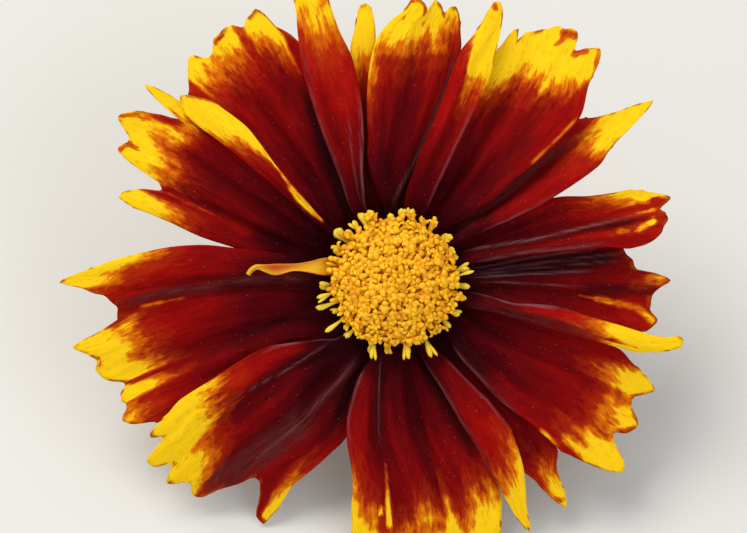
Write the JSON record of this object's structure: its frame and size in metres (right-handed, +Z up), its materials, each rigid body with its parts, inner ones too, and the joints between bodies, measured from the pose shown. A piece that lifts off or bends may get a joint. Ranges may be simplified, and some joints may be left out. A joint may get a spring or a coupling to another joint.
{
  "type": "coreopsis bloom",
  "caption": "Picked coreopsis bloom with dark red, yellow-toothed ray florets round a yellow disc, lying on its short bent stalk.",
  "frame": {"origin": "middle of the footprint, on the surface that the bloom lies on", "axes": "+Z up, +Y from the flower face back along the stalk, +X to the right seen from the front of the face"},
  "size_m": [0.055, 0.0586, 0.0317],
  "materials": {
    "ray_floret": "velvety dark red petal with yellow teeth",
    "ligule": "thin yellow-orange petal",
    "disc_floret": "matt yellow florets",
    "inner_bract": "thin olive-brown bract",
    "outer_bract": "green leafy bract",
    "stalk": "smooth green stem"
  },
  "bodies": {
    "root": {"ray_01": "ray_floret", "ray_02": "ray_floret", "ray_03": "ray_floret", "ray_04": "ray_floret", "ray_05": "ray_floret", "ray_06": "ray_floret", "ray_07": "ray_floret", "ray_08": "ray_floret", "ray_09": "ray_floret", "ray_10": "ray_floret", "ray_11": "ray_floret", "ray_12": "ray_floret", "ray_13": "ray_floret", "ray_14": "ray_floret", "ray_15": "ray_floret", "ray_16": "ray_floret", "ray_17": "ray_floret", "ray_18": "ray_floret", "inner_ligule": "ligule", "disc_florets": "disc_floret", "inner_bracts": "inner_bract", "outer_bracts": "outer_bract", "stalk": "stalk"}
  },
  "joints": []
}
